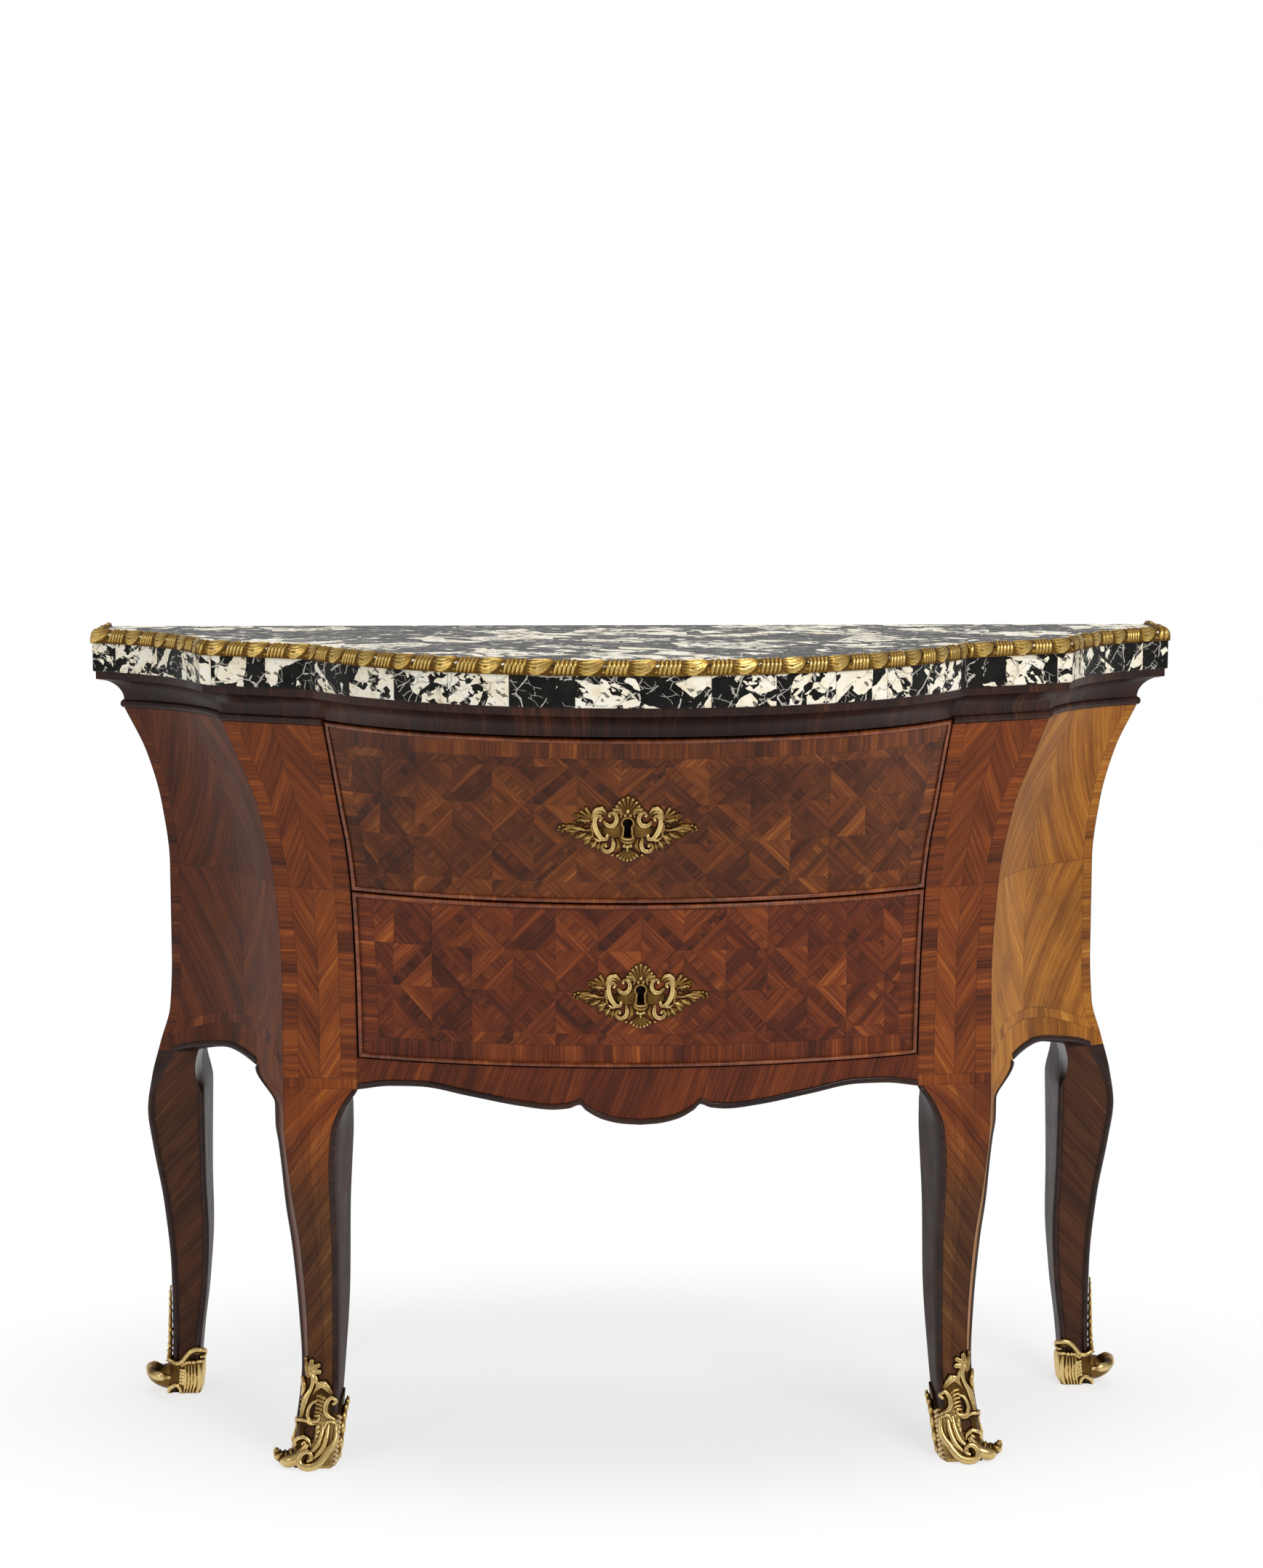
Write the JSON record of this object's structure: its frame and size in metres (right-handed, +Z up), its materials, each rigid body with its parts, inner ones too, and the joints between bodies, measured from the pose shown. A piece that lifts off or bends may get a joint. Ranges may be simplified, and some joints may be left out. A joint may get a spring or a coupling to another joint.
{
  "type": "commode chest",
  "caption": "Bow-fronted, waisted commode chest on cabriole legs, with a serpentine stone top in a leafy gilt edge and wide sliding drawers that lock.",
  "frame": {"origin": "on the floor, under the middle of the marble top's outline", "axes": "+X to the right of someone who faces the drawers, +Y to the wall behind, -Y the drawer fronts, +Z up"},
  "size_m": [1.26, 0.548, 0.925],
  "materials": {
    "marble": "polished breccia marble, black and grey clasts with cream shards and white veins, opaque",
    "gilt_bronze": "gilt bronze, burnished on its high places and matt and darker in its hollows",
    "veneer": "polished tulipwood and kingwood veneer in lozenge and chevron parquetry",
    "dark_wood": "dark polished wood mouldings and beads",
    "carcass_wood": "plain sawn oak and pine, unpolished",
    "iron": "filed wrought iron with a thin oiled surface"
  },
  "bodies": {
    "case": {"marble_core": "marble", "marble_top_veneer": "marble", "marble_edge_veneer": "marble", "edge_moulding_right": "gilt_bronze", "edge_moulding_right_stile": "gilt_bronze", "edge_moulding_front": "gilt_bronze", "edge_moulding_left_stile": "gilt_bronze", "edge_moulding_left": "gilt_bronze", "sabot_front_right": "gilt_bronze", "sabot_front_left": "gilt_bronze", "sabot_back_right": "gilt_bronze", "sabot_back_left": "gilt_bronze", "frieze_front": "dark_wood", "frieze_right": "dark_wood", "frieze_left": "dark_wood", "side_arch_bead_right": "dark_wood", "side_arch_bead_left": "dark_wood", "front_apron_bead": "dark_wood", "front_leg_right": "veneer", "front_leg_left": "veneer", "back_leg_right": "veneer", "back_leg_left": "veneer", "side_panel_right": "veneer", "side_panel_left": "veneer", "side_rail_right": "veneer", "side_rail_left": "veneer", "front_apron": "veneer", "bottom_board": "carcass_wood", "dust_board": "carcass_wood", "lower_runner_right": "carcass_wood", "lower_runner_left": "carcass_wood", "upper_runner_right": "carcass_wood", "upper_runner_left": "carcass_wood", "lower_drawer_stop": "carcass_wood", "upper_drawer_stop": "carcass_wood", "top_rail_back": "carcass_wood", "top_rail_front": "carcass_wood", "top_rail_right": "carcass_wood", "top_rail_left": "carcass_wood", "back_rail_bottom": "carcass_wood", "back_board_lower": "carcass_wood", "back_board_upper": "carcass_wood"},
    "upper_drawer": {"upper_drawer_front": "veneer", "upper_drawer_bead": "dark_wood", "upper_drawer_side_right": "carcass_wood", "upper_drawer_side_left": "carcass_wood", "upper_drawer_back": "carcass_wood", "upper_drawer_bottom": "carcass_wood", "upper_lock_case": "iron", "upper_escutcheon": "gilt_bronze"},
    "lower_drawer": {"lower_drawer_front": "veneer", "lower_drawer_bead": "dark_wood", "lower_drawer_side_right": "carcass_wood", "lower_drawer_side_left": "carcass_wood", "lower_drawer_back": "carcass_wood", "lower_drawer_bottom": "carcass_wood", "lower_lock_case": "iron", "lower_escutcheon": "gilt_bronze"},
    "upper_bolt": {"upper_lock_bolt": "iron"},
    "lower_bolt": {"lower_lock_bolt": "iron"}
  },
  "joints": [
    {"name": "upper_drawer_slide", "type": "slide", "parent": "case", "child": "upper_drawer", "axis": [0, -1, 0], "range_m": [0, 0.2]},
    {"name": "lower_drawer_slide", "type": "slide", "parent": "case", "child": "lower_drawer", "axis": [0, -1, 0], "range_m": [0, 0.2]},
    {"name": "upper_bolt_throw", "type": "slide", "parent": "upper_drawer", "child": "upper_bolt", "axis": [0, 0, 1], "range_m": [0, 0.008]},
    {"name": "lower_bolt_throw", "type": "slide", "parent": "lower_drawer", "child": "lower_bolt", "axis": [0, 0, 1], "range_m": [0, 0.008]}
  ]
}
